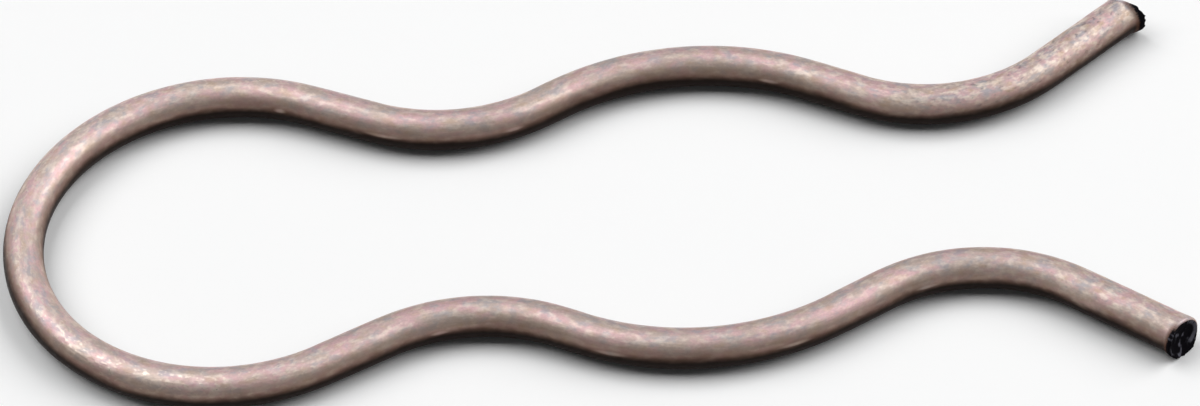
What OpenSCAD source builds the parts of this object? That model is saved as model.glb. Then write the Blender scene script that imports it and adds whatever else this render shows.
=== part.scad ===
// Retaining spring: one length of round spring wire, bent flat into a bight and two waved legs.
// X is the axis of symmetry and runs from the bight out through the mouth. Y runs across the legs.
// The origin is the centre of the bight, in the plane of the wire's centreline. Sizes are in mm.
// From the bight each leg slopes in to the throat, out to the belly, in to the mouth and flares out.

/* [Wire] */
// Diameter of the wire
wire_d = 2.4; // [1.6:0.1:3.2]
// How much thinner the wire is in its bends, where bending has drawn it down
draw_down = 0.02; // [0.01:0.01:0.1]

/* [Bight] */
// Inside radius of the round bend that joins the legs
bight_r = 10.7; // [9:0.1:16]

/* [Throat] */
// Slope of each leg from the bight in to the throat, in degrees from the axis
throat_slope = 26; // [16:1:32]
// Straight length of each leg between the bight and the throat
throat_run = 4.2; // [1:0.1:7]
// Inside radius of the throat bend
throat_r = 9.7; // [6:0.1:14]

/* [Belly] */
// Slope of each leg from the throat out to the belly, in degrees from the axis
belly_slope = 29; // [18:1:38]
// Straight length of each leg between the throat and the belly
belly_run = 1.2; // [0.5:0.1:6]
// Inside radius of the belly bend
belly_r = 14.1; // [9:0.1:20]

/* [Mouth] */
// Slope of each leg from the belly in to the mouth, in degrees from the axis
mouth_slope = 29; // [18:1:34]
// Straight length of each leg between the belly and the mouth
mouth_run = 3.3; // [0.5:0.1:6]
// Inside radius of the mouth bend
mouth_r = 8.8; // [5:0.1:14]

/* [Ends] */
// Slope of each flared end outward from the mouth, in degrees from the axis
flare_slope = 39; // [20:1:60]
// Straight length of each flared end, up to the sheared face
flare_run = 7.1; // [3:0.1:12]
// How far the shear has spread the rim beyond the wire's surface
lip = 0.15; // [0.05:0.01:0.3]
// Length over which the wire widens to its spread rim
lip_run = 0.6; // [0.4:0.05:1.5]
// Radius of the rounded rim
rim_r = 0.12; // [0.06:0.01:0.2]
// Depth of the hollow that the shear leaves in the end face
dish = 0.15; // [0.05:0.01:0.3]

/* [Hidden] */
wire_r = wire_d / 2;
bend_wire_d = wire_d - draw_down;
bight_centre_r = centreline_r(bight_r);
rim_centre_r = wire_r + lip - rim_r;
dish_edge_r = rim_centre_r - rim_r;
dish_sphere_r = (dish_edge_r * dish_edge_r + dish * dish) / (2 * dish);
// How far a straight reaches into the bends beside it, where the wire starts to thin
overlap = 0.05;
left = 1;
right = -1;
wire_colour = [0.68, 0.61, 0.57];
$fn = 72;

// Radius of a bend at the wire's centreline
function centreline_r(inside_r) = inside_r + bend_wire_d / 2;

// Round wire bent about the Z axis, counter-clockwise from the start angle
module wire_arc(inside_r, start, angle) {
    rotate_extrude(start = start, angle = angle)
        translate([centreline_r(inside_r), 0])
            circle(d = bend_wire_d);
}

// Straight wire along +X from the local origin. The wire that follows starts at its far end.
module run(length) {
    translate([-overlap, 0, 0])
        rotate([0, 90, 0])
            cylinder(d = wire_d, h = length + 2 * overlap);
    translate([length, 0, 0])
        children();
}

// Wire that starts along +X and bends to its left or right. The wire that follows starts at its end.
module bend(inside_r, angle, side) {
    r = centreline_r(inside_r);
    translate([0, side * r, 0]) {
        wire_arc(inside_r, side == left ? -90 : 90 - angle, angle);
        rotate([0, 0, side * angle])
            translate([0, -side * r, 0])
                children();
    }
}

// Half section of a flared end, which widens to a rounded rim around a shallow hollow
module end_profile() {
    difference() {
        union() {
            polygon([
                [0, -overlap],
                [wire_r, -overlap],
                [wire_r, flare_run - lip_run],
                [wire_r + lip, flare_run - rim_r],
                [rim_centre_r, flare_run],
                [0, flare_run]
            ]);
            translate([rim_centre_r, flare_run - rim_r])
                circle(r = rim_r);
        }
        translate([0, flare_run - dish + dish_sphere_r])
            circle(r = dish_sphere_r);
    }
}

// Straight end of the wire along +X from the local origin, as the shear left it
module flared_end() {
    rotate([0, 90, 0])
        rotate_extrude()
            end_profile();
}

module bight() {
    wire_arc(bight_r, 90 - throat_slope, 180 + 2 * throat_slope);
}

// The leg on the +Y side, followed along the wire from the bight to its sheared end
module leg() {
    rotate([0, 0, -throat_slope])
        translate([0, bight_centre_r, 0])
            run(throat_run)
                bend(throat_r, throat_slope + belly_slope, left)
                    run(belly_run)
                        bend(belly_r, belly_slope + mouth_slope, right)
                            run(mouth_run)
                                bend(mouth_r, mouth_slope + flare_slope, left)
                                    flared_end();
}

module spring_wire() {
    color(wire_colour) {
        bight();
        leg();
        mirror([0, 1, 0])
            leg();
    }
}

spring_wire();
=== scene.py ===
"""Retaining spring: one length of drawn spring wire, bent flat into a bight and two waved legs.

Everything is in metres, in the part's own frame. X runs from the bight out through the mouth,
Y across the legs, and Z is the thickness of the wire. The origin is the centre of the bight.
"""

import logging
import math
from dataclasses import dataclass, fields, replace
from enum import Enum
from typing import Any, Dict, List, Optional, Tuple, Union

import bpy
from mathutils import Matrix, Vector


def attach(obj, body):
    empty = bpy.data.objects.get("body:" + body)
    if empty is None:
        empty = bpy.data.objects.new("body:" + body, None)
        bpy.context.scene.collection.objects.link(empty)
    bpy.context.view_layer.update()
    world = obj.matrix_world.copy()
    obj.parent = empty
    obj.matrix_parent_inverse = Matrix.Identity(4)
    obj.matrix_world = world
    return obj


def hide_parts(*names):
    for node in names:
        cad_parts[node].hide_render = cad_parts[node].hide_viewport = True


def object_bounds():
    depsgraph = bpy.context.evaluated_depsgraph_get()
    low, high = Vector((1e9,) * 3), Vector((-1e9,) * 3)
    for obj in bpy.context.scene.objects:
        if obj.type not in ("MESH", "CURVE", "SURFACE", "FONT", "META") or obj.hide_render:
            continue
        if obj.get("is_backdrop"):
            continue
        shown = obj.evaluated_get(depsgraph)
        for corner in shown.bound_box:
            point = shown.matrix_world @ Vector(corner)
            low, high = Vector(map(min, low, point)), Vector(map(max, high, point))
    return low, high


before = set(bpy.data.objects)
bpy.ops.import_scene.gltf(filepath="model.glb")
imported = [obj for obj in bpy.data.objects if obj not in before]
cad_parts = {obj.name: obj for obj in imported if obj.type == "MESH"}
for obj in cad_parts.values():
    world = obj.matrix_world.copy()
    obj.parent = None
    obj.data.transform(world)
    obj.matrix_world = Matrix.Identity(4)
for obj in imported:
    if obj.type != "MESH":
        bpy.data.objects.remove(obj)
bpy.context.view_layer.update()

LOG = logging.getLogger("retaining_spring")
MM = 0.001
Colour = Tuple[float, float, float]
Point = Tuple[float, float, float]
Span = Tuple[float, float]
Term = Union["Value", float, int, str, tuple]


class Side(Enum):
    """A side of the wire, seen from above while it is followed from its first end."""

    LEFT = 1
    RIGHT = -1


@dataclass(frozen=True)
class Pattern:
    """A noise pattern on the unrolled wire.

    Attributes:
        cell: Size of one lump along, across and up from the wire, in metres.
        detail: How many finer layers it has.
        rough: How strong the finer layers are.
        shift: How far aside it is read, so that it does not follow the other patterns.
    """

    cell: Point
    detail: float = 2.0
    rough: float = 0.5
    shift: Point = (0.0, 0.0, 0.0)


class Value:
    """A socket of a node tree, on which Python's operators add Math nodes."""

    def __init__(self, bench: "Bench", socket: bpy.types.NodeSocket) -> None:
        """Keeps the socket and the bench whose tree it is in."""
        self.bench = bench
        self.socket = socket

    def maths(self, operation: str, *terms: Term) -> "Value":
        """Adds one Math node.

        Args:
            operation: The Math node's operation.
            terms: Its inputs in order, as values or numbers.

        Returns:
            The node's result.
        """
        made = self.bench.node("ShaderNodeMath", {"operation": operation}, dict(enumerate(terms)))
        return made["Value"]

    def __add__(self, other: Term) -> "Value":
        """Sum."""
        return self.maths("ADD", self, other)

    def __radd__(self, other: Term) -> "Value":
        """Sum, with the number first."""
        return self.maths("ADD", other, self)

    def __sub__(self, other: Term) -> "Value":
        """Difference."""
        return self.maths("SUBTRACT", self, other)

    def __rsub__(self, other: Term) -> "Value":
        """Difference, with the number first."""
        return self.maths("SUBTRACT", other, self)

    def __mul__(self, other: Term) -> "Value":
        """Product."""
        return self.maths("MULTIPLY", self, other)

    def __rmul__(self, other: Term) -> "Value":
        """Product, with the number first."""
        return self.maths("MULTIPLY", other, self)

    def __truediv__(self, other: Term) -> "Value":
        """Quotient."""
        return self.maths("DIVIDE", self, other)

    def __rtruediv__(self, other: Term) -> "Value":
        """Quotient, with the number first."""
        return self.maths("DIVIDE", other, self)

    def floor(self) -> "Value":
        """The whole number at or below the value."""
        return self.maths("FLOOR", self)

    def cosine(self) -> "Value":
        """Cosine of the value in radians."""
        return self.maths("COSINE", self)

    def sine(self) -> "Value":
        """Sine of the value in radians."""
        return self.maths("SINE", self)

    def size(self) -> "Value":
        """The value without its sign."""
        return self.maths("ABSOLUTE", self)

    def least(self, other: Term) -> "Value":
        """The smaller of the two."""
        return self.maths("MINIMUM", self, other)

    def step(self, start: float, end: float) -> "Value":
        """Eases from 0 to 1 as the value goes from one bound to the other.

        Args:
            start: Where the result is 0. It may be the larger bound.
            end: Where the result is 1.

        Returns:
            The eased value.
        """
        bounds = {"Value": self, "From Min": start, "From Max": end}
        made = self.bench.node("ShaderNodeMapRange", {"interpolation_type": "SMOOTHSTEP"}, bounds)
        return made["Result"]


class Made:
    """A node that a bench has made, whose outputs are read by name."""

    def __init__(self, bench: "Bench", node: bpy.types.Node) -> None:
        """Keeps the node and its bench."""
        self.bench = bench
        self.node = node

    def __getitem__(self, name: str) -> Value:
        """The output of that identifier or name."""
        return Value(self.bench, Bench.find(self.node.outputs, name))


class Bench:
    """Writes nodes into one tree."""

    def __init__(self, tree: bpy.types.NodeTree) -> None:
        """Starts on the tree, which it empties."""
        self.tree = tree
        self.tree.nodes.clear()

    @staticmethod
    def find(sockets: Any, key: Union[str, int]) -> bpy.types.NodeSocket:
        """Finds a socket.

        Args:
            sockets: A node's inputs or outputs.
            key: The socket's place, identifier or name.

        Returns:
            The socket.
        """
        if isinstance(key, int):
            return sockets[key]
        by_identifier = [s for s in sockets if s.identifier == key]
        by_name = [s for s in sockets if s.name == key and s.enabled]
        return (by_identifier or by_name)[0]

    def node(
        self,
        kind: str,
        settings: Optional[Dict[str, Any]] = None,
        inputs: Optional[Dict[Union[str, int], Term]] = None,
    ) -> Made:
        """Adds a node.

        Args:
            kind: The node's type.
            settings: Its properties, which are set before its sockets.
            inputs: Values or links of its sockets, by place, identifier or name.

        Returns:
            The node.
        """
        node = self.tree.nodes.new(kind)
        for name, setting in (settings or {}).items():
            setattr(node, name, setting)
        for key, term in (inputs or {}).items():
            socket = self.find(node.inputs, key)
            if isinstance(term, Value):
                self.tree.links.new(term.socket, socket)
            else:
                socket.default_value = term
        return Made(self, node)

    def vector(self, operation: str, *terms: Term) -> Value:
        """Adds a Vector Math node.

        Args:
            operation: Its operation. SCALE takes a vector and a number.
            terms: Its inputs in order.

        Returns:
            The resulting vector, or number.
        """
        keys = ("Vector", "Scale" if operation == "SCALE" else "Vector_001")
        made = self.node("ShaderNodeVectorMath", {"operation": operation}, dict(zip(keys, terms)))
        return made["Value" if operation in ("DOT_PRODUCT", "LENGTH") else "Vector"]

    def mix(self, share: Term, first: Term, second: Term, blend: str = "MIX") -> Value:
        """Mixes two colours.

        Args:
            share: How much of the second colour shows, from 0 to 1.
            first: The colour underneath.
            second: The colour on top.
            blend: The way in which they mix.

        Returns:
            The mixed colour.
        """
        settings = {"data_type": "RGBA", "blend_type": blend, "clamp_factor": True}
        inputs = {"Factor_Float": share, "A_Color": self.rgba(first), "B_Color": self.rgba(second)}
        return self.node("ShaderNodeMix", settings, inputs)["Result_Color"]

    @staticmethod
    def rgba(colour: Term) -> Term:
        """A colour with its alpha, or the link as it is."""
        return (*colour, 1.0) if isinstance(colour, tuple) else colour

    def noise(self, place: Value, pattern: Pattern, seed: Optional[Value] = None) -> Value:
        """Adds a noise pattern.

        Args:
            place: Place on the unrolled wire, in metres.
            pattern: The pattern.
            seed: What makes it another pattern of the same kind, where there is one.

        Returns:
            A value from 0 to 1, which is 0.5 on the average.
        """
        if any(pattern.shift):
            place = self.vector("ADD", place, pattern.shift)
        scaled = self.vector("MULTIPLY", place, tuple(1.0 / size for size in pattern.cell))
        inputs = {"Vector": scaled, "Scale": 1.0, "Detail": pattern.detail, "Roughness": pattern.rough}
        settings = {}
        if seed is not None:
            settings["noise_dimensions"] = "4D"
            inputs["W"] = seed
        return self.node("ShaderNodeTexNoise", settings, inputs)["Fac"]


# OCHRE is also the warm tint of the painted shade towards the underside; UMBER is its brown, and the
# brown at the sheared faces' edges
OCHRE: Colour = (0.58, 0.420, 0.305)
UMBER: Colour = (0.180, 0.083, 0.053)


@dataclass(frozen=True)
class PaintedGlint:
    """A short painted highlight: a bright streak on the wire that lifts its painted shade.

    Attributes:
        run: Distance of its middle along the wire, from the first end.
        side: Its place round the wire, in degrees from the wire's left side up over its top.
        length: Its length along the wire.
        width: Its width round the wire.
    """

    run: float
    side: float
    length: float
    width: float


@dataclass(frozen=True)
class ShadeClimb:
    """A stretch of the wire where the painted shade of its underside climbs higher on one side.

    Attributes:
        run: Distance of its middle along the wire, from the first end.
        side: The side on which it climbs.
        reach: Distance from its middle at which it has faded out.
        climb: How far it climbs in its middle, in wire radii.
    """

    run: float
    side: Side
    reach: float
    climb: float


@dataclass(frozen=True)
class Blotch:
    """A colour that comes in over another one while a value goes from one level to another.

    Attributes:
        colour: The colour.
        start: Level at which it begins to show.
        full: Level from which it shows in full.
        share: How much of it shows then, from 0 to 1.
        worn_share: How much more of it shows where the wire is worn.
    """

    colour: Colour
    start: float
    full: float
    share: float = 1.0
    worn_share: float = 0.0

    def shown(self, level: Value, worn: Term = 0.0) -> Value:
        """How much of the colour shows at a level, and at a degree of wear."""
        return level.step(self.start, self.full) * (self.share + self.worn_share * worn)


@dataclass(frozen=True)
class Surface:
    """What the finish reads at a point of the wire. Its noise patterns go from 0 to 1.

    Attributes:
        along: The point's place, as if the wire were straight along X.
        run: Its distance along the wire, from the first end.
        left: How far it is to the left of the wire's middle, in wire radii.
        height: How far it is above the wire's middle, in wire radii.
        sheared: 1 on a sheared face, and 0 on the drawn wire.
        polish_and_sheen: 1 on an edge that the shear has polished, painted pale only where it faces up,
            which is partly painted highlight.
        worn: How handled the wire is there, from 0 to 1.
        bight: 1 in the bight.
        crown: 1 round the middle of the bight.
        stretched: 1 on the outer side of the bight, which bending has stretched.
        glint: How strong a painted glint is there; it lifts the painted shade of the underside.
        streak: Fine lines along the wire, from drawing it.
        haze: Wide soft patches.
        cloud: Patches of the mottle.
        tint: Patches of warmer and cooler colour.
        grain: Fine grain.
        peel: Dimples and pits.
        drift: Slow change of the height to which the painted shade of the underside reaches.
    """

    along: Value
    run: Value
    left: Value
    height: Value
    sheared: Value
    polish_and_sheen: Value
    worn: Value
    bight: Value
    crown: Value
    stretched: Value
    glint: Term
    streak: Value
    haze: Value
    cloud: Value
    tint: Value
    grain: Value
    peel: Value
    drift: Value


@dataclass(frozen=True)
class DrawnSteel:
    """Drawn spring steel: satin, warm grey and mottled, with painted shade underneath, and sheared ends
    that are nearly black, partly from painted shade.

    Attributes:
        wire_r: Radius of the wire.
        length: Length of the wire along its centreline.
        painted_glints: Where it has painted glints, which are painted highlights.
        shade_climbs: Where the painted shade of its underside climbs.
        name: Name of the material.
        tan: Colour under the mottle.
        pale: Colour of a polished edge, whose pale lavender is partly painted highlight.
        shear_dark: Colour of a sheared face, nearly black, which is partly painted shade.
        shear_grey: Colour of the scars in it.
        rose, ash, ochre, cream: Patches of the mottle.
        pit: Dark pits, where the wire is worn.
        warm_side, brown_flank, underside: Painted shade: how the wire is painted warmer and darker
            towards its underside.
        rim: Brown towards the edge of a sheared face.
        streak, haze, cloud, tint, grain, peel, drift, scar: Noise patterns.
        spot_span: Where the pale spots between the dimples come in.
        stretched_span: Where the outer side of the bight comes in, in wire radii to the left.
        shade_climb_span: Where a climb of the painted shade comes in, in wire radii to its side.
        torn_span: Where the sheared face comes in.
        metal: How metallic the clean wire is.
        painted_shade_hides: How much of that the painted shade of the underside takes away.
        rough: Roughness of the clean wire.
        torn_rough: Roughness of a sheared face.
        specular: Specular level.
        burnish_share: How much of the pale colour shows on a polished edge.
        relief_depth: Depth of the fine relief.
        glint_strength: How far a painted glint clears the painted shade away.
        bight_half: Half the length of the bight along the wire.
        crown_half: Half the length of its crown.
        fade: How far from their bounds the bight and its crown begin and end.
        first_worn: Length of the worn stretch at the first end.
        first_wear: How worn that end is. The last end is worn in full.
        last_worn: Length of the worn stretch at the last end.
    """

    wire_r: float
    length: float
    painted_glints: Tuple[PaintedGlint, ...]
    shade_climbs: Tuple[ShadeClimb, ...]
    name: str = "drawn_spring_steel"
    tan: Colour = (0.565, 0.455, 0.410)
    pale: Colour = (0.68, 0.640, 0.700)
    shear_dark: Colour = (0.006, 0.005, 0.007)
    shear_grey: Colour = (0.160, 0.157, 0.190)
    rose: Blotch = Blotch((0.66, 0.445, 0.455), 0.36, 0.64)
    ash: Blotch = Blotch((0.43, 0.415, 0.445), 0.48, 0.70, 0.64, 0.20)
    ochre: Blotch = Blotch(OCHRE, 0.46, 0.28, 0.48, 0.30)
    cream: Blotch = Blotch((0.80, 0.690, 0.600), 0.46, 0.70, 0.50, 0.40)
    pit: Blotch = Blotch((0.24, 0.215, 0.225), 0.38, 0.24, 0.0, 0.60)
    # Painted shade: the wire is painted warmer, then brown, then nearly black towards its underside
    warm_side: Blotch = Blotch(OCHRE, 0.92, 0.50, 0.42)
    brown_flank: Blotch = Blotch(UMBER, 0.74, 0.08, 0.74)
    underside: Blotch = Blotch((0.016, 0.009, 0.007), 0.40, -0.14, 0.96)
    rim: Blotch = Blotch(UMBER, 0.02, 0.40, 0.70)
    streak: Pattern = Pattern((3.0 * MM, 0.10 * MM, 0.10 * MM), 3.0, 0.6)
    haze: Pattern = Pattern((1.5 * MM, 0.75 * MM, 0.75 * MM), shift=(0.31, 0.17, 0.05))
    cloud: Pattern = Pattern((0.72 * MM, 0.38 * MM, 0.38 * MM))
    tint: Pattern = Pattern((0.80 * MM, 0.48 * MM, 0.48 * MM), shift=(0.07, 0.41, 0.23))
    grain: Pattern = Pattern((0.16 * MM, 0.11 * MM, 0.11 * MM), 2.0, 0.6)
    peel: Pattern = Pattern((0.34 * MM, 0.22 * MM, 0.22 * MM), 1.0, shift=(0.19, 0.03, 0.11))
    drift: Pattern = Pattern((6.0 * MM, 1.4 * MM, 1.4 * MM), shift=(0.13, 0.29, 0.37))
    scar: Pattern = Pattern((1.0 * MM, 0.30 * MM, 0.46 * MM), 1.0, 0.4)
    spot_span: Span = (0.54, 0.70)
    stretched_span: Span = (-0.5, 0.4)
    shade_climb_span: Span = (0.46, 0.88)
    torn_span: Span = (0.35, 0.65)
    metal: float = 0.50
    painted_shade_hides: float = 0.9375
    rough: float = 0.45
    torn_rough: float = 0.92
    specular: float = 0.05
    burnish_share: float = 0.85
    relief_depth: float = 0.010 * MM
    glint_strength: float = 0.70
    bight_half: float = 24.0 * MM
    crown_half: float = 9.0 * MM
    fade: float = 3.0 * MM
    first_worn: float = 15.0 * MM
    first_wear: float = 0.55
    last_worn: float = 27.0 * MM

    def material(self) -> bpy.types.Material:
        """Builds the finish.

        Returns:
            The material, which reads the wire's own attributes.
        """
        made = bpy.data.materials.new(self.name)
        made.use_nodes = True
        bench = Bench(made.node_tree)
        at = self._surface(bench)
        level = self._level(at)
        # Painted shade: nearly black underneath, lifted where a painted glint lies
        painted_dark = self.underside.shown(level) * (1.0 - at.glint)
        torn = (at.sheared + (at.grain - 0.5) * 0.4).step(*self.torn_span)
        colour = bench.mix(1.0, self._mottled(bench, at), self._grey(bench, self._shade(at)), "MULTIPLY")
        # Painted shade towards the underside: warmer, then brown, then nearly black
        colour = bench.mix(self.warm_side.shown(level), colour, self.warm_side.colour)
        brown = self.brown_flank.shown(level) * (1.0 - at.glint)
        colour = bench.mix(brown, colour, self.brown_flank.colour)
        colour = bench.mix(painted_dark, colour, self.underside.colour)
        # Sheared faces: brown towards the edge, nearly black inside, which is partly painted shade
        colour = bench.mix(self.rim.shown(at.sheared), colour, self.rim.colour)
        colour = bench.mix(torn, colour, self._sheared_face(bench, at))
        relief = {"Strength": 1.0, "Distance": self.relief_depth, "Height": self._relief(at)}
        shader = bench.node(
            "ShaderNodeBsdfPrincipled",
            {},
            {
                "Base Color": colour,
                "Metallic": self._metal(at, painted_dark) * (1.0 - torn),
                "Roughness": self._roughness(at) * (1.0 - torn) + self.torn_rough * torn,
                "Specular IOR Level": self.specular,
                "Normal": bench.node("ShaderNodeBump", {}, relief)["Normal"],
            },
        )
        bench.node("ShaderNodeOutputMaterial", {}, {"Surface": shader["BSDF"]})
        return made

    def _surface(self, bench: Bench) -> Surface:
        """Reads the wire's attributes and lays the patterns on it.

        Args:
            bench: Where the nodes are made.

        Returns:
            What the finish knows of a point.
        """
        along = self._read(bench, "along_wire", "Vector")
        place = bench.node("ShaderNodeSeparateXYZ", {}, {"Vector": along})
        left = place["Y"] / self.wire_r
        bight = self._near_middle(place["X"], self.bight_half)
        return Surface(
            along=along,
            run=place["X"],
            left=left,
            height=place["Z"] / self.wire_r,
            sheared=self._read(bench, "sheared", "Fac"),
            polish_and_sheen=self._read(bench, "polish_and_sheen", "Fac"),
            worn=self._worn(place["X"]),
            bight=bight,
            crown=self._near_middle(place["X"], self.crown_half),
            stretched=bight * left.step(*self.stretched_span),
            glint=self._glints(bench, along),
            streak=bench.noise(along, self.streak),
            haze=bench.noise(along, self.haze),
            cloud=bench.noise(along, self.cloud),
            tint=bench.noise(along, self.tint),
            grain=bench.noise(along, self.grain),
            peel=bench.noise(along, self.peel),
            drift=bench.noise(along, self.drift),
        )

    @staticmethod
    def _read(bench: Bench, name: str, output: str) -> Value:
        """The wire's attribute of that name."""
        return bench.node("ShaderNodeAttribute", {"attribute_name": name})[output]

    @staticmethod
    def _grey(bench: Bench, level: Value) -> Value:
        """A grey of that level."""
        parts = {"Red": level, "Green": level, "Blue": level}
        return bench.node("ShaderNodeCombineColor", {}, parts)["Color"]

    def _mottled(self, bench: Bench, at: Surface) -> Value:
        """Colour of the clean wire: tan, with patches of other tints, pale spots and dark pits.

        Args:
            bench: Where the nodes are made.
            at: The point on the wire.

        Returns:
            The colour.
        """
        patches = (
            (self.rose, at.haze, at.worn),
            (self.ash, at.tint, at.worn),
            (self.ochre, at.tint, at.worn),
            (self.cream, at.cloud, at.worn),
            (self.pit, at.peel, at.worn * at.worn),
        )
        colour: Term = self.tan
        for blotch, pattern, worn in patches:
            colour = bench.mix(blotch.shown(pattern, worn), colour, blotch.colour)
        # The pale spots are partly the wire's own flecks and partly painted highlight, most on the
        # bight's stretched side
        spots = self._spot(at) * (0.15 + 0.50 * at.stretched + 0.30 * at.worn)
        colour = bench.mix(spots, colour, self.cream.colour)
        # Painted pale on the polished rolled edge, partly as painted highlight
        return bench.mix(at.polish_and_sheen * self.burnish_share, colour, self.pale)

    def _spot(self, at: Surface) -> Value:
        """1 in the pale spots between the dimples, which are partly painted glints."""
        return at.peel.step(*self.spot_span)

    @staticmethod
    def _shade(at: Surface) -> Value:
        """How light the clean wire is, with painted highlights on the bight and on the sides of the worn
        ends.

        Args:
            at: The point on the wire.

        Returns:
            What its colour is multiplied by.
        """
        # Streaks and grain are the wire's own; the bight and its stretched side are painted lighter, a
        # painted highlight
        shade = 0.69 + 0.24 * at.streak + 0.38 * at.grain + 0.07 * at.bight + 0.04 * at.stretched
        # Painted highlight: the crown is painted lighter, most of all on its inner side
        shade = shade + at.crown * (0.08 + 0.16 * at.left.step(0.3, -0.4))
        shade = shade + 0.18 * (at.cloud - 0.5) + 0.40 * at.worn * at.worn * (at.peel - 0.5)
        # Painted highlight: the sides of the worn ends are painted lighter than their top
        sides_lit = 0.15 * at.height.step(0.97, 0.66) + 0.28 * at.height.step(0.80, 0.50) - 0.02
        return shade + at.worn.step(0.0, 0.55) * sides_lit

    def _level(self, at: Surface) -> Value:
        """Height on the wire as the painted shade of its underside follows it.

        Args:
            at: The point on the wire.

        Returns:
            Its height in wire radii, unevenly shifted, and lower where the painted shade climbs.
        """
        level = at.height + 0.50 * (at.drift - 0.5) + 0.12 * (at.cloud - 0.5)
        # Painted shade: raised on one side where it climbs
        for shade_climb in self.shade_climbs:
            near = (at.run - shade_climb.run).size().step(shade_climb.reach, 0.0)
            facing = (at.left * shade_climb.side.value).step(*self.shade_climb_span)
            level = level - shade_climb.climb * near * facing
        return level

    def _metal(self, at: Surface, painted_dark: Value) -> Value:
        """How metallic the wire is.

        Args:
            at: The point on the wire.
            painted_dark: How far the painted shade of the underside covers it there.

        Returns:
            Less than the clean wire's value where it is worn, and where it is painted dark underneath.
        """
        return self.metal * (1.0 - 0.20 * at.worn) * (1.0 - self.painted_shade_hides * painted_dark)

    def _roughness(self, at: Surface) -> Value:
        """Roughness of the drawn wire, smoother in its pale spots and on polished edges."""
        rough = self.rough + 0.14 * (at.grain - 0.5) + 0.20 * (0.5 - at.cloud) + 0.10 * (at.streak - 0.5)
        return rough + 0.05 * at.worn - 0.10 * self._spot(at) * (0.3 + at.stretched) - 0.08 * at.polish_and_sheen

    @staticmethod
    def _relief(at: Surface) -> Value:
        """Height of the fine relief, of which the dimples are deepest where the wire is stretched."""
        dimples = (0.5 + 0.9 * at.stretched + 0.6 * at.worn) * at.peel
        return 0.30 * at.streak + 0.50 * at.grain + 1.5 * at.cloud + dimples

    def _worn(self, run: Value) -> Value:
        """How handled the wire is at a place along it.

        Args:
            run: Distance along the wire from its first end.

        Returns:
            Up to 1 near the last end, less near the first, and 0 over the rest of the wire.
        """
        first = run.step(self.first_worn, self.first_worn / 3)
        last = run.step(self.length - self.last_worn, self.length - self.last_worn / 3)
        return self.first_wear * first + last

    def _near_middle(self, run: Value, half: float) -> Value:
        """Whether a place is near the middle of the wire, which is the middle of the bight.

        Args:
            run: Distance along the wire from its first end.
            half: How far from the middle it may be.

        Returns:
            1 near the middle and 0 over the rest of the wire.
        """
        first, last = self.length / 2 - half, self.length / 2 + half
        begun = run.step(first - self.fade, first + self.fade)
        ended = run.step(last + self.fade, last - self.fade)
        return begun * ended

    def _glints(self, bench: Bench, along: Value) -> Term:
        """Where the wire has painted glints.

        Args:
            bench: Where the nodes are made.
            along: Place on the unrolled wire.

        Returns:
            The strength of a painted glint in the middle of each, and 0 away from them.
        """
        found: Term = 0.0
        for mark in self.painted_glints:
            turn = math.radians(mark.side)
            middle = (mark.run, self.wire_r * math.cos(turn), self.wire_r * math.sin(turn))
            sizes = (mark.length, mark.width, mark.width)
            apart = bench.vector("SUBTRACT", along, middle)
            apart = bench.vector("MULTIPLY", apart, tuple(1.0 / size for size in sizes))
            found = found + self.glint_strength * bench.vector("LENGTH", apart).step(0.5, 0.1)
        return found

    def _sheared_face(self, bench: Bench, at: Surface) -> Value:
        """Colour of a sheared end: nearly black, partly painted shade, with grey scars and a crescent
        inside the rim.

        Args:
            bench: Where the nodes are made.
            at: The point on the wire.

        Returns:
            The colour.
        """
        out = bench.vector("LENGTH", bench.vector("MULTIPLY", at.along, (0.0, 1.0, 1.0))) / self.wire_r
        crescent = out.step(0.66, 0.78) * out.step(0.96, 0.86) * at.left.step(-0.25, -0.62)
        scar = bench.noise(at.along, self.scar)
        marked = scar.step(0.56, 0.74) + crescent * scar.step(0.28, 0.50)
        return bench.mix(marked.least(1.0), self.shear_dark, self.shear_grey)


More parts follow.
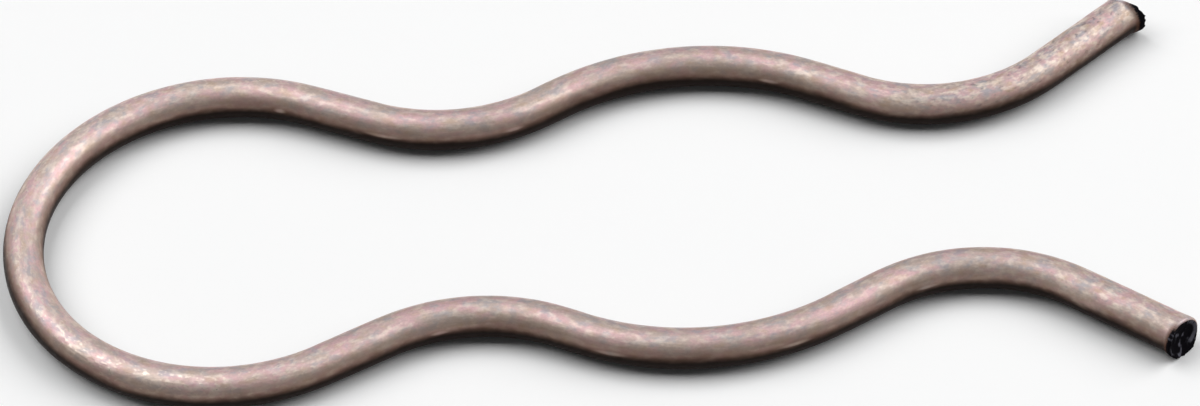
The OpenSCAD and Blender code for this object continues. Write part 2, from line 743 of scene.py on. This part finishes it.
@dataclass(frozen=True)
class StudioWhite:
    """The white floor and the dim room round it.

    Attributes:
        floor_shown: The floor's colour, as it is seen by itself or in a reflection.
        floor_bounce: Its colour for the light that it throws back on the object.
        room_colour: Colour of the room's light.
        room_strength: Strength of the room's light.
    """

    floor_shown: Colour = (0.99, 0.99, 0.99)
    floor_bounce: Colour = (0.16, 0.155, 0.15)
    room_colour: Colour = (0.94, 0.98, 1.0)
    room_strength: float = 0.08

    @staticmethod
    def _seen(bench: Bench) -> Value:
        """1 for a ray that shows the floor, by itself or in a reflection, and 0 for one that lights."""
        ray = bench.node("ShaderNodeLightPath")
        return (ray["Is Camera Ray"] + ray["Is Glossy Ray"] + ray["Is Transmission Ray"]).least(1.0)

    def floor(self) -> bpy.types.Material:
        """Builds the floor's finish.

        Returns:
            The material, which can be seen through from below.
        """
        made = bpy.data.materials.new("floor_white")
        made.use_nodes = True
        bench = Bench(made.node_tree)
        shown = bench.node("ShaderNodeBsdfDiffuse", {}, {"Color": Bench.rgba(self.floor_shown)})
        bounce = bench.node("ShaderNodeBsdfDiffuse", {}, {"Color": Bench.rgba(self.floor_bounce)})
        parts = {0: self._seen(bench), 1: bounce["BSDF"], 2: shown["BSDF"]}
        top = bench.node("ShaderNodeMixShader", {}, parts)
        below = bench.node("ShaderNodeNewGeometry")["Backfacing"]
        clear = bench.node("ShaderNodeBsdfTransparent")
        both = bench.node("ShaderNodeMixShader", {}, {0: below, 1: top["Shader"], 2: clear["BSDF"]})
        bench.node("ShaderNodeOutputMaterial", {}, {"Surface": both["Shader"]})
        return made

    def sky(self) -> bpy.types.World:
        """Builds the room.

        Returns:
            The world, an even soft light.
        """
        made = bpy.data.worlds.new("studio_room")
        made.use_nodes = True
        bench = Bench(made.node_tree)
        inputs = {"Color": Bench.rgba(self.room_colour), "Strength": self.room_strength}
        light = bench.node("ShaderNodeBackground", {}, inputs)
        bench.node("ShaderNodeOutputWorld", {}, {"Surface": light["Background"]})
        return made


@dataclass(frozen=True)
class Straight:
    """A straight length of the wire."""

    length: float


@dataclass(frozen=True)
class Bend:
    """A round bend of the wire, by the radius of its centreline, its angle in degrees and its side."""

    radius: float
    angle: float
    turn: Side


@dataclass(frozen=True)
class Station:
    """A place on the wire's centreline, with the wire's direction there in radians."""

    place: Vector
    heading: float
    bent: bool


@dataclass
class WireForm:
    """The centreline of the wire, from one sheared end round the bight to the other.

    Attributes:
        wire_d: Diameter of the wire.
        draw_down: How much thinner the wire is in its bends.
        bight_r, throat_r, belly_r, mouth_r: Inside radius of each bend.
        throat_slope, belly_slope, mouth_slope, flare_slope: Slope of each straight, in degrees from X.
        throat_run, belly_run, mouth_run, flare_run: Length of each straight.
    """

    wire_d: float = 2.4 * MM
    draw_down: float = 0.02 * MM
    bight_r: float = 10.7 * MM
    throat_slope: float = 26.0
    throat_run: float = 4.2 * MM
    throat_r: float = 9.7 * MM
    belly_slope: float = 29.0
    belly_run: float = 1.2 * MM
    belly_r: float = 14.1 * MM
    mouth_slope: float = 29.0
    mouth_run: float = 3.3 * MM
    mouth_r: float = 8.8 * MM
    flare_slope: float = 39.0
    flare_run: float = 7.1 * MM

    def wire_r(self) -> float:
        """Radius of the wire."""
        return self.wire_d / 2

    def centreline_r(self, inside_r: float) -> float:
        """Radius of a bend at the wire's centreline."""
        return inside_r + (self.wire_d - self.draw_down) / 2

    def leg(self) -> List[Union[Straight, Bend]]:
        """The leg on the +Y side, from the bight out to its end."""
        return [
            Straight(self.throat_run),
            Bend(self.centreline_r(self.throat_r), self.throat_slope + self.belly_slope, Side.LEFT),
            Straight(self.belly_run),
            Bend(self.centreline_r(self.belly_r), self.belly_slope + self.mouth_slope, Side.RIGHT),
            Straight(self.mouth_run),
            Bend(self.centreline_r(self.mouth_r), self.mouth_slope + self.flare_slope, Side.LEFT),
            Straight(self.flare_run),
        ]

    def pieces(self) -> List[Union[Straight, Bend]]:
        """Puts the wire together.

        Returns:
            Its pieces in order, from the end on the -Y side to the end on the +Y side.
        """
        out = self.leg()
        bight = Bend(self.centreline_r(self.bight_r), 180.0 + 2 * self.throat_slope, Side.RIGHT)
        return [*reversed(out), bight, *out]

    def length(self) -> float:
        """Length of the wire along its centreline."""
        return sum(self._length(piece) for piece in self.pieces())

    @staticmethod
    def _length(piece: Union[Straight, Bend]) -> float:
        """Measures one piece.

        Args:
            piece: The piece.

        Returns:
            Its length along the centreline.
        """
        if isinstance(piece, Straight):
            return piece.length
        return piece.radius * math.radians(piece.angle)

    def start(self) -> Tuple[Vector, float]:
        """Place and heading of the first end.

        Returns:
            The end's centre, and the direction of the wire there in radians.
        """
        slope = math.radians(self.throat_slope)
        reach = self.centreline_r(self.bight_r)
        place = Vector((math.sin(slope) * reach, math.cos(slope) * reach, 0.0))
        heading = -slope
        for piece in self.leg():
            place, heading = self._advance(piece, place, heading, self._length(piece))
        return Vector((place.x, -place.y, 0.0)), math.pi - heading

    @staticmethod
    def _advance(
        piece: Union[Straight, Bend], place: Vector, heading: float, run: float
    ) -> Tuple[Vector, float]:
        """Follows one piece of the wire.

        Args:
            piece: The piece.
            place: Where it starts.
            heading: Its direction there, in radians.
            run: How far it is followed.

        Returns:
            The place reached, and the heading there.
        """
        if isinstance(piece, Straight):
            return place + Vector((math.cos(heading), math.sin(heading), 0.0)) * run, heading
        side = piece.turn.value
        turned = heading + side * run / piece.radius
        centre = place + Vector((-math.sin(heading), math.cos(heading), 0.0)) * side * piece.radius
        return centre + Vector((math.sin(turned), -math.cos(turned), 0.0)) * side * piece.radius, turned

    def station(self, run: float) -> Station:
        """Finds a place on the wire.

        Args:
            run: Distance along the centreline from the first end.

        Returns:
            The centreline there.
        """
        place, heading = self.start()
        pieces = self.pieces()
        for number, piece in enumerate(pieces):
            length = self._length(piece)
            if run <= length or number == len(pieces) - 1:
                place, heading = self._advance(piece, place, heading, run)
                return Station(place, heading, isinstance(piece, Bend))
            place, heading = self._advance(piece, place, heading, length)
            run -= length
        raise ValueError("the wire has no pieces")


@dataclass(frozen=True)
class Ring:
    """One ring of points round the wire. At an end, one side is burred and the other rolled over.

    Attributes:
        run: Distance along the wire from its first end.
        burred_r: Radius at the burred side.
        rolled_r: Radius at the rolled side.
        recess: How far the rolled side is shifted along the wire.
        fin: How far the burr is shifted along the wire.
        flare: How ragged the burr is there, from 0 to 1.
        torn: How far the burred side is torn, from 0 to 1.
        rolled_torn: How far the rolled side is torn, from 0 to 1.
        rim_polish_and_sheen: How far the rolled side is polished and painted pale, from 0 to 1; the pale
            is partly painted highlight.
        burr_side: Direction from the wire's middle to its burred side.
        lean: Direction in which the ring leans along the wire, with how far it does.
    """

    run: float
    burred_r: float
    rolled_r: float
    recess: float = 0.0
    fin: float = 0.0
    flare: float = 0.0
    torn: float = 0.0
    rolled_torn: float = 0.0
    rim_polish_and_sheen: float = 0.0
    burr_side: Point = (0.0, 0.0, -1.0)
    lean: Point = (0.0, 0.0, 0.0)


@dataclass
class ShearedEnd:
    """An end of the wire as the shear left it: rolled over on one side and burred on the other.

    Attributes:
        wire_r: Radius of the wire.
        burr_side: Direction from the wire's middle to its burred side.
        slant: Direction in which the slanting face stands out, with how far it does.
        roll_edge_r: Radius of the rolled edge.
        roll_shine: How far the rolled edge is polished and painted pale, partly as painted highlight,
            from 0 to 1.
        roll_torn: Share of the rolled edge over which its tear ends.
        roll_burnished: Share of the rolled edge over which its polish begins.
        inset: How far the end is short of the length of the wire's form.
        burr_lip: How far the burr spreads beyond the wire.
        burr_edge_r: Radius of the burred edge.
        burr_fin: How far the burr stands out from the face.
        roll_lip: How far the rolled edge spreads beyond the wire.
        lip_run: Length over which the wire widens to its spread rim.
        dish: Depth of the hollow in the face.
        face_rings: Number of rings from the middle of the face to its edge.
        edge_rings: Number of rings over the edge.
        lip_rings: Number of rings from the edge to the drawn wire.
    """

    wire_r: float
    burr_side: Point
    slant: Point
    roll_edge_r: float
    roll_shine: float
    inset: float
    roll_torn: float = 0.3
    roll_burnished: float = 0.4
    burr_lip: float = 0.17 * MM
    burr_edge_r: float = 0.10 * MM
    burr_fin: float = 0.24 * MM
    roll_lip: float = 0.02 * MM
    lip_run: float = 0.7 * MM
    dish: float = 0.15 * MM
    face_rings: int = 16
    edge_rings: int = 14
    lip_rings: int = 9

    def section(self, lip: float, edge_r: float) -> List[Tuple[float, float]]:
        """Half section of the end, from the centre of its face out over the rim.

        Args:
            lip: How far the rim stands out from the wire.
            edge_r: Radius of the rounded rim.

        Returns:
            Depth behind the end's plane, and radius, of each ring.
        """
        crest = self.wire_r + lip - edge_r
        rings = []
        for i in range(self.face_rings):
            out = i / self.face_rings
            rings.append((self.dish * (1.0 - out * out), crest * out))
        for i in range(self.edge_rings):
            angle = math.pi / 2 * i / (self.edge_rings - 1)
            rings.append((edge_r * (1.0 - math.cos(angle)), crest + edge_r * math.sin(angle)))
        for i in range(1, self.lip_rings + 1):
            part = i / self.lip_rings
            ease = part * part * (3.0 - 2.0 * part)
            rings.append((edge_r + (self.lip_run - edge_r) * part, self.wire_r + lip * (1.0 - ease)))
        return rings

    def rings(self) -> List[Ring]:
        """Makes the rings of the end.

        Returns:
            The rings, from the middle of the face out over the rim.
        """
        burred = self.section(self.burr_lip, self.burr_edge_r)
        rolled = self.section(self.roll_lip, self.roll_edge_r)
        return [self._ring(i, *pair) for i, pair in enumerate(zip(burred, rolled))]

    def _ring(self, number: int, burred: Tuple[float, float], rolled: Tuple[float, float]) -> Ring:
        """One ring of the end.

        Args:
            number: Its place, counted from the middle of the face.
            burred: Its depth and radius at the burred side.
            rolled: Its depth and radius at the rolled side.

        Returns:
            The ring, with what the shear did to it.
        """
        rim = self.face_rings + self.edge_rings
        over = (number - self.face_rings) / self.edge_rings
        past = max(0.0, (number - rim + 1) / self.lip_rings)
        reach = min(1.0, burred[1] / (self.wire_r + self.burr_lip))
        leaning = reach if number < rim else (1.0 - past) ** 2
        return Ring(
            run=self.inset + burred[0],
            burred_r=burred[1],
            rolled_r=rolled[1],
            recess=rolled[0] - burred[0],
            fin=-self.burr_fin * (reach**5 if number < rim else (1.0 - past) ** 2),
            flare=reach**6 if number < rim else 1.0 - past,
            torn=max(0.0, 1.0 - 1.2 * past),
            rolled_torn=min(1.0, max(0.0, 1.0 - over / self.roll_torn)),
            rim_polish_and_sheen=self.roll_shine * min(1.0, max(0.0, over / self.roll_burnished)) * (1.0 - past),
            burr_side=self.burr_side,
            lean=tuple(-part * leaning for part in self.slant),
        )


class WireSweep:
    """The node tree that lays rings of wire along a spine."""

    INPUTS: Dict[str, str] = {
        "Spine": "NodeSocketGeometry",
        "Sides": "NodeSocketInt",
        "Burr grain": "NodeSocketFloat",
        "Face grain": "NodeSocketFloat",
        "Dents": "NodeSocketFloat",
        "Seed": "NodeSocketFloat",
        "Finish": "NodeSocketMaterial",
    }
    RAGGED = Pattern((0.5 * MM, 0.22 * MM, 0.22 * MM))
    DENTED = Pattern((2.6 * MM, 1.1 * MM, 1.1 * MM), 1.0)
    BROKEN = Pattern((1.0 * MM, 0.34 * MM, 0.24 * MM))
    BURR_SPAN: Span = (-0.92, 0.40)
    TOP_SPAN: Span = (0.3, 0.9)
    WELD = 1e-8

    def __init__(self) -> None:
        """Starts the tree, with its named inputs and a grid of one row of points for each ring."""
        self.tree = bpy.data.node_groups.new("wire_along_spine", "GeometryNodeTree")
        self.bench = Bench(self.tree)
        for name, kind in self.INPUTS.items():
            self.tree.interface.new_socket(name=name, in_out="INPUT", socket_type=kind)
        self.tree.interface.new_socket(name="Wire", in_out="OUTPUT", socket_type="NodeSocketGeometry")
        self.given = self.bench.node("NodeGroupInput")
        around = self.given["Sides"] + 1
        spine = {"Geometry": self.given["Spine"]}
        rings = self.bench.node("GeometryNodeAttributeDomainSize", {"component": "MESH"}, spine)
        counts = {"Vertices X": rings["Point Count"], "Vertices Y": around}
        self.grid = self.bench.node("GeometryNodeMeshGrid", {}, counts)
        index = self.bench.node("GeometryNodeInputIndex")["Index"]
        self.ring = (index / around).floor()
        self.angle = (index - self.ring * around) * (2 * math.pi) / self.given["Sides"]

    def sampled(self, value: Value, kind: str) -> Value:
        """Reads the spine at the point's ring.

        Args:
            value: What is read there.
            kind: Its data type.

        Returns:
            The value at the ring.
        """
        settings = {"data_type": kind, "domain": "POINT"}
        inputs = {"Geometry": self.given["Spine"], "Value": value, "Index": self.ring}
        return self.bench.node("GeometryNodeSampleIndex", settings, inputs)["Value"]

    def picked(self, name: str, kind: str = "FLOAT") -> Value:
        """The spine's attribute of that name, at the point's ring."""
        named = self.bench.node("GeometryNodeInputNamedAttribute", {"data_type": kind}, {"Name": name})
        return self.sampled(named["Attribute"], kind)

    def between(self, first: str, second: str, share: Value) -> Value:
        """A value that goes from one of the spine's attributes to another with a share from 0 to 1."""
        return self.picked(first) + (self.picked(second) - self.picked(first)) * share

    def lumps(self, place: Value, pattern: Pattern) -> Value:
        """Seeded noise on the unrolled wire, from about -1 to 1."""
        return (self.bench.noise(place, pattern, self.given["Seed"]) - 0.5) * 2.0

    def unrolled(self, run: Value, radius: Value) -> Value:
        """Place of a point on the wire as if it were straight along X."""
        parts = {"X": run, "Y": radius * self.angle.cosine(), "Z": radius * self.angle.sine()}
        return self.bench.node("ShaderNodeCombineXYZ", {}, parts)["Vector"]

    def build(self) -> bpy.types.NodeTree:
        """Lays each point out from the spine, to the drawn wire or to what the shear left.

        Returns:
            The tree, with named inputs for its sizes.
        """
        bench, given = self.bench, self.given
        up = (0.0, 0.0, 1.0)
        heading = self.picked("heading", "FLOAT_VECTOR")
        across = bench.vector("CROSS_PRODUCT", up, heading)
        sideways = bench.vector("SCALE", across, self.angle.cosine())
        outward = bench.vector("ADD", sideways, bench.vector("SCALE", up, self.angle.sine()))
        facing = bench.vector("DOT_PRODUCT", outward, self.picked("burr_side", "FLOAT_VECTOR"))
        burred = facing.step(*self.BURR_SPAN)
        radius = self.between("rolled_r", "burred_r", burred)
        smooth = self.unrolled(self.picked("run"), radius)
        flare = self.picked("flare")
        ragged = self.lumps(smooth, self.RAGGED)
        dented = self.lumps(smooth, self.DENTED) * (1.0 - self.picked("torn")) * given["Dents"]
        radius = radius + ragged * flare * given["Burr grain"] * (0.2 + burred) + dented
        broken = self.lumps(smooth, self.BROKEN) * self.picked("rolled_torn") * (1.0 - flare)
        fin = self.picked("fin") * burred * burred * (1.0 + 0.8 * ragged)
        lean = bench.vector("DOT_PRODUCT", outward, self.picked("lean", "FLOAT_VECTOR"))
        shift = self.picked("recess") * (1.0 - burred) + broken * given["Face grain"] + fin + lean
        middle = self.sampled(bench.node("GeometryNodeInputPosition")["Position"], "FLOAT_VECTOR")
        middle = bench.vector("ADD", middle, bench.vector("SCALE", heading, shift))
        laid = bench.vector("ADD", middle, bench.vector("SCALE", outward, radius))
        # The rolled edge is painted pale only on the wire's upper side: partly painted highlight
        top = self.angle.sine().step(*self.TOP_SPAN)
        stored = [
            ("along_wire", "FLOAT_VECTOR", "POINT", self.unrolled(self.picked("run") + shift, radius)),
            ("sheared", "FLOAT", "POINT", self.between("rolled_torn", "torn", burred)),
            ("polish_and_sheen", "FLOAT", "POINT", self.picked("rim_polish_and_sheen") * (1.0 - burred) * top),
            ("UVMap", "FLOAT2", "CORNER", self.grid["UV Map"]),
        ]
        self.close(laid, stored)
        return self.tree

    def close(self, laid: Value, stored: List[Tuple[str, str, str, Value]]) -> None:
        """Moves the grid's points to their places, closes the wire and dresses it.

        Args:
            laid: Place of each point.
            stored: Name, type, domain and value of each attribute that the wire keeps.
        """
        bench = self.bench
        wire = self.grid["Mesh"]
        for name, kind, domain, value in stored:
            settings = {"data_type": kind, "domain": domain}
            inputs = {"Geometry": wire, "Name": name, "Value": value}
            wire = bench.node("GeometryNodeStoreNamedAttribute", settings, inputs)["Geometry"]
        wire = bench.node("GeometryNodeSetPosition", {}, {"Geometry": wire, "Position": laid})["Geometry"]
        merged = bench.node("GeometryNodeMergeByDistance", {}, {"Geometry": wire, "Distance": self.WELD})
        outside = bench.node("GeometryNodeFlipFaces", {}, {"Mesh": merged["Geometry"]})
        soft = bench.node("GeometryNodeSetShadeSmooth", {}, {"Geometry": outside["Mesh"]})
        real = bench.node("GeometryNodeRealizeInstances", {}, {"Geometry": soft["Geometry"]})
        inputs = {"Geometry": real["Geometry"], "Material": self.given["Finish"]}
        dressed = bench.node("GeometryNodeSetMaterial", {}, inputs)
        bench.node("NodeGroupOutput", {}, {"Wire": dressed["Geometry"]})


@dataclass
class RetainingSpring:
    """The one piece: the bent wire with its two sheared ends.

    Attributes:
        form: The wire's centreline.
        first_end: The end where the wire begins.
        last_end: The end where it stops.
        sides: Number of points in a ring.
        pitch: Distance from ring to ring.
        thinning: Length over which the wire thins at the start of a bend.
        burr_grain: How far the burrs are ragged.
        face_grain: How far the sheared faces are rough.
        dents: How far the drawn wire is dented.
        seed: Which of the possible patterns these take.
        name: Name of the piece.
    """

    form: WireForm
    first_end: ShearedEnd
    last_end: ShearedEnd
    sides: int = 80
    pitch: float = 0.18 * MM
    thinning: float = 0.5 * MM
    burr_grain: float = 0.035 * MM
    face_grain: float = 0.05 * MM
    dents: float = 0.010 * MM
    seed: float = 7.0
    name: str = "drawn_wire"

    def rings(self) -> List[Ring]:
        """Makes every ring of the wire.

        Returns:
            The rings in order, from the middle of the first face to the middle of the last.
        """
        length = self.form.length()
        start = self.first_end.inset + self.first_end.lip_run
        between = length - start - self.last_end.inset - self.last_end.lip_run
        count = round(between / self.pitch)
        runs = [start + between * i / count for i in range(1, count)]
        radii = [self._drawn_r(run) for run in runs]
        body = [Ring(run, radius, radius) for run, radius in zip(runs, radii)]
        last = [
            replace(
                ring,
                run=length - ring.run,
                recess=-ring.recess,
                fin=-ring.fin,
                lean=tuple(-part for part in ring.lean),
            )
            for ring in reversed(self.last_end.rings())
        ]
        return [*self.first_end.rings(), *body, *last]

    def painted_glints(self) -> Tuple[PaintedGlint, ...]:
        """Where painted glints lie on the wire, low on the side towards -Y.

        Returns:
            The painted glints.
        """
        middle = self.form.length() / 2
        # Painted highlights: short bright streaks just above the painted shade
        return (
            PaintedGlint(middle + 22.6 * MM, 169.0, 1.1 * MM, 0.40 * MM),
            PaintedGlint(middle + 29.2 * MM, 168.0, 2.6 * MM, 0.36 * MM),
            PaintedGlint(middle + 36.4 * MM, 167.0, 1.5 * MM, 0.36 * MM),
            PaintedGlint(middle + 53.2 * MM, 166.0, 1.8 * MM, 0.36 * MM),
            PaintedGlint(middle - 31.3 * MM, 10.0, 1.7 * MM, 0.36 * MM),
            PaintedGlint(middle - 42.2 * MM, 11.0, 2.4 * MM, 0.40 * MM),
            PaintedGlint(middle - 52.2 * MM, 10.0, 2.6 * MM, 0.36 * MM),
            PaintedGlint(middle - 61.0 * MM, 11.0, 1.9 * MM, 0.34 * MM),
        )

    def shade_climbs(self) -> Tuple[ShadeClimb, ...]:
        """Where the painted shade of the underside climbs: on both sides of the bight's crown and on one
        belly.

        Returns:
            The climbs of the painted shade.
        """
        middle = self.form.length() / 2
        return (
            ShadeClimb(middle - 2.5 * MM, Side.LEFT, 11.0 * MM, 0.46),
            ShadeClimb(middle + 2.0 * MM, Side.RIGHT, 5.0 * MM, 0.26),
            ShadeClimb(middle + 43.0 * MM, Side.RIGHT, 14.0 * MM, 0.14),
        )

    def _drawn_r(self, run: float) -> float:
        """Radius of the wire, which bending has drawn down.

        Args:
            run: Distance along the centreline.

        Returns:
            The radius there.
        """
        samples = [self.form.station(run + self.thinning * k / 4).bent for k in (-2, -1, 0, 1, 2)]
        return (self.form.wire_d - self.form.draw_down * sum(samples) / len(samples)) / 2

    def spine(self) -> bpy.types.Object:
        """Builds the centreline with what each ring needs to know.

        Returns:
            A mesh of one point for each ring, with its values as attributes.
        """
        rings = self.rings()
        stations = [self.form.station(ring.run) for ring in rings]
        mesh = bpy.data.meshes.new(self.name + "_spine")
        mesh.from_pydata([s.place for s in stations], [(i, i + 1) for i in range(len(rings) - 1)], [])
        for field in fields(Ring):
            values = [getattr(ring, field.name) for ring in rings]
            if field.type is float:
                mesh.attributes.new(field.name, "FLOAT", "POINT").data.foreach_set("value", values)
            else:
                self._store_vectors(mesh, field.name, values)
        headings = [(math.cos(s.heading), math.sin(s.heading), 0.0) for s in stations]
        self._store_vectors(mesh, "heading", headings)
        spine = bpy.data.objects.new(self.name + "_spine", mesh)
        bpy.context.scene.collection.objects.link(spine)
        return spine

    @staticmethod
    def _store_vectors(mesh: bpy.types.Mesh, name: str, values: List[Point]) -> None:
        """Writes a vector for each point of a mesh as an attribute of that name."""
        flat = [part for value in values for part in value]
        mesh.attributes.new(name, "FLOAT_VECTOR", "POINT").data.foreach_set("vector", flat)

    def build(self, finish: DrawnSteel) -> bpy.types.Object:
        """Builds the wire and dresses it.

        Args:
            finish: The wire's finish.

        Returns:
            The wire as a plain mesh.
        """
        spine = self.spine()
        tree = WireSweep().build()
        modifier = spine.modifiers.new("wire", "NODES")
        modifier.node_group = tree
        values = {
            "Sides": self.sides,
            "Burr grain": self.burr_grain,
            "Face grain": self.face_grain,
            "Dents": self.dents,
            "Seed": self.seed,
            "Finish": finish.material(),
        }
        for item in tree.interface.items_tree:
            if item.in_out == "INPUT" and item.name in values:
                modifier[item.identifier] = values[item.name]
        shown = spine.evaluated_get(bpy.context.evaluated_depsgraph_get())
        mesh = bpy.data.meshes.new_from_object(shown)
        mesh.name = self.name
        wire = bpy.data.objects.new(self.name, mesh)
        bpy.context.scene.collection.objects.link(wire)
        spine.modifiers.remove(modifier)
        bpy.data.objects.remove(spine)
        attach(wire, "root")
        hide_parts("spring_wire")
        return wire


@dataclass
class Lamp:
    """A square soft light that looks at the object.

    Attributes:
        name: Name of the lamp.
        direction: Where it hangs, seen from the object.
        brightness: Radiance of its face.
        distance: How far it is from the object.
        size: Length of its side.
    """

    name: str
    direction: Point
    brightness: float
    distance: float = 1.0
    size: float = 0.9

    def build(self, target: Vector) -> bpy.types.Object:
        """Hangs the lamp.

        Args:
            target: The point that it looks at.

        Returns:
            The lamp.
        """
        light = bpy.data.lights.new(self.name, "AREA")
        light.shape = "SQUARE"
        light.size = self.size
        light.energy = self.brightness * math.pi * self.size * self.size
        lamp = bpy.data.objects.new(self.name, light)
        aim = Vector(self.direction).normalized()
        lamp.location = target + aim * self.distance
        lamp.rotation_euler = aim.to_track_quat("Z", "Y").to_euler()
        lamp.visible_camera = False
        bpy.context.scene.collection.objects.link(lamp)
        return lamp


@dataclass
class Studio:
    """The floor, the lamps and the camera.

    Attributes:
        white: Finish of the floor and the room.
        floor_half: Half the length of the floor's side.
        target: The point that the camera and the lamps look at.
        camera_distance: Distance of the camera from it.
        azimuth: Turn of the camera round the object, in degrees.
        elevation: Height of the camera above the floor's plane, in degrees.
        roll: Turn of the camera about its line of sight, in degrees.
        lens: Focal length in millimetres.
        sensor: Width of the camera's sensor in millimetres.
        clip: Nearest and farthest distance that the camera shows.
    """

    white: StudioWhite
    floor_half: float = 6.0
    target: Point = (21.92 * MM, 0.696 * MM, 0.0)
    camera_distance: float = 425.0 * MM
    azimuth: float = -1.207
    elevation: float = 45.142
    roll: float = 3.431
    lens: float = 217.86
    sensor: float = 36.0
    clip: Tuple[float, float] = (0.01, 50.0)

    def lamps(self) -> List[Lamp]:
        """The soft lamps: two above the wire, and a weaker one behind it."""
        return [
            Lamp("lamp_right", (0.68, 0.06, 0.73), 2.84),
            Lamp("lamp_left", (-0.48, 0.16, 0.865), 2.44),
            Lamp("lamp_back", (-0.10, 0.72, 0.68), 0.28),
        ]

    def floor(self, height: float) -> bpy.types.Object:
        """Lays the floor.

        Args:
            height: Where its surface is.

        Returns:
            The floor.
        """
        half = self.floor_half
        corners = [(half * x, half * y, height) for x, y in ((-1, -1), (1, -1), (1, 1), (-1, 1))]
        mesh = bpy.data.meshes.new("floor")
        mesh.from_pydata(corners, [], [(0, 1, 2, 3)])
        mesh.materials.append(self.white.floor())
        floor = bpy.data.objects.new("floor", mesh)
        bpy.context.scene.collection.objects.link(floor)
        floor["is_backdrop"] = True
        return floor

    def camera(self) -> bpy.types.Object:
        """Places the camera at the photograph's angle.

        Returns:
            The camera.
        """
        turn, rise, roll = (math.radians(a) for a in (self.azimuth, self.elevation, self.roll))
        ahead = math.cos(rise)
        back = Vector((math.sin(turn) * ahead, -math.cos(turn) * ahead, math.sin(rise)))
        level = Vector((math.cos(turn), math.sin(turn), 0.0))
        upright = back.cross(level)
        right = level * math.cos(roll) - upright * math.sin(roll)
        up = level * math.sin(roll) + upright * math.cos(roll)
        data = bpy.data.cameras.new("camera")
        data.sensor_width = self.sensor
        data.lens = self.lens
        data.clip_start, data.clip_end = self.clip
        camera = bpy.data.objects.new("camera", data)
        axes = Matrix((right, up, back)).transposed().to_4x4()
        camera.matrix_world = Matrix.Translation(Vector(self.target) + back * self.camera_distance) @ axes
        bpy.context.scene.collection.objects.link(camera)
        bpy.context.scene.camera = camera
        return camera

    def build(self, floor_height: float) -> None:
        """Sets up the studio round the object.

        Args:
            floor_height: Lowest point of the object.
        """
        self.floor(floor_height)
        for lamp in self.lamps():
            lamp.build(Vector(self.target))
        bpy.context.scene.world = self.white.sky()
        self.camera()
        bpy.context.scene.view_settings.view_transform = "Standard"


def main() -> None:
    """Builds the spring and its studio, and reports each piece."""
    logging.basicConfig(level=logging.INFO, format="%(name)s: %(message)s")
    form = WireForm()
    lower_end = ShearedEnd(
        wire_r=form.wire_r(),
        burr_side=(-0.45, -0.52, -0.72),
        slant=(0.165 * MM, 0.205 * MM, 0.0),
        roll_edge_r=0.18 * MM,
        roll_shine=0.25,
        inset=-0.03 * MM,
    )
    upper_end = ShearedEnd(
        wire_r=form.wire_r(),
        burr_side=(0.30, -0.75, -0.59),
        slant=(0.0, 0.0, -0.14 * MM),
        roll_edge_r=0.56 * MM,
        roll_shine=1.0,
        inset=0.12 * MM,
    )
    spring = RetainingSpring(form, lower_end, upper_end)
    finish = DrawnSteel(form.wire_r(), form.length(), spring.painted_glints(), spring.shade_climbs())
    wire = spring.build(finish)
    LOG.info("%s: %d faces, %.2f mm of wire", wire.name, len(wire.data.polygons), form.length() / MM)
    bpy.context.view_layer.update()
    low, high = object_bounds()
    Studio(StudioWhite()).build(low.z)
    LOG.info("studio: floor at %.3f mm", low.z / MM)


if __name__ == "__main__":
    main()
